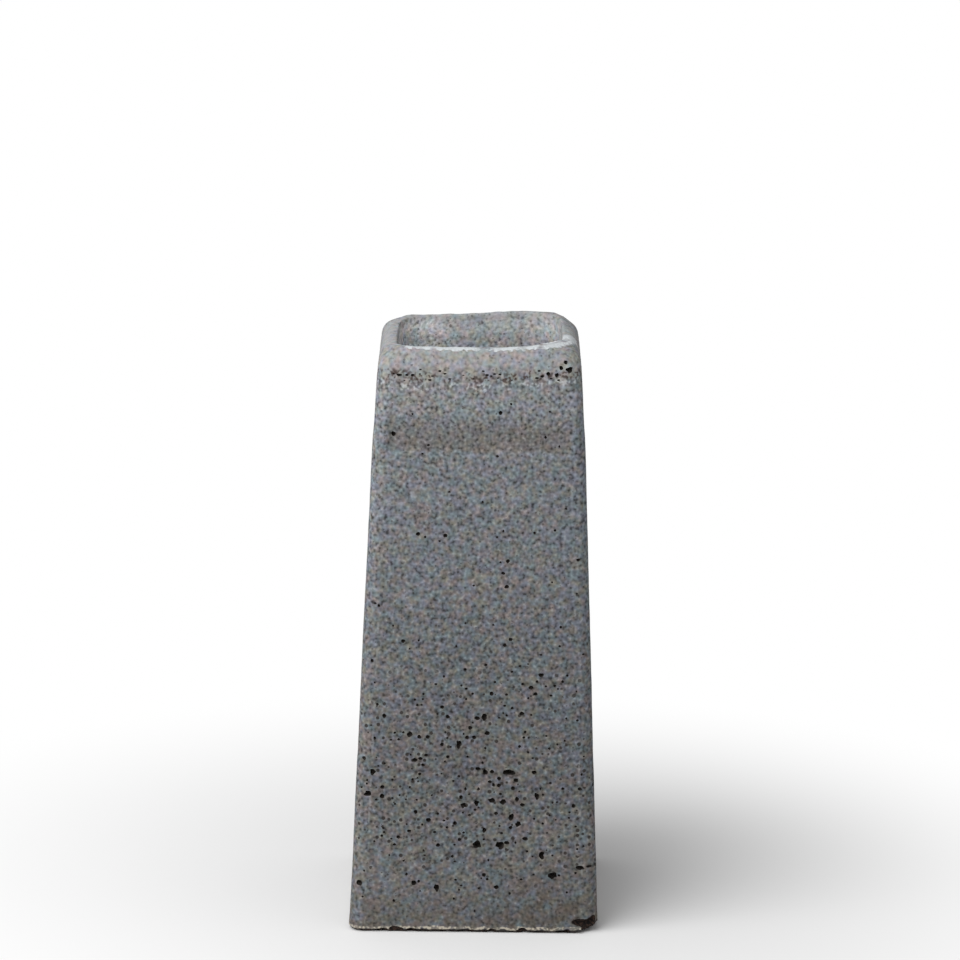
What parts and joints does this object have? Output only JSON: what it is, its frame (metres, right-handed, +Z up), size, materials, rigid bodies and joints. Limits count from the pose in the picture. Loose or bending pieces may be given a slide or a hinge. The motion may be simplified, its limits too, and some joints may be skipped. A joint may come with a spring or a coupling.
{
  "type": "concrete post base block",
  "caption": "Tall tapered square concrete block with a rounded rim and a deep tapered socket in its top, in which a round post is wedged upright.",
  "frame": {"origin": "middle of the square foot, on the ground", "axes": "+Z up, out of the socket; -Y the front, with the broken foot corner at +X"},
  "size_m": [0.18, 0.18, 0.424],
  "materials": {
    "concrete": "rough cast grey concrete with blowholes"
  },
  "bodies": {
    "root": {"post_base_block": "concrete"}
  },
  "joints": []
}
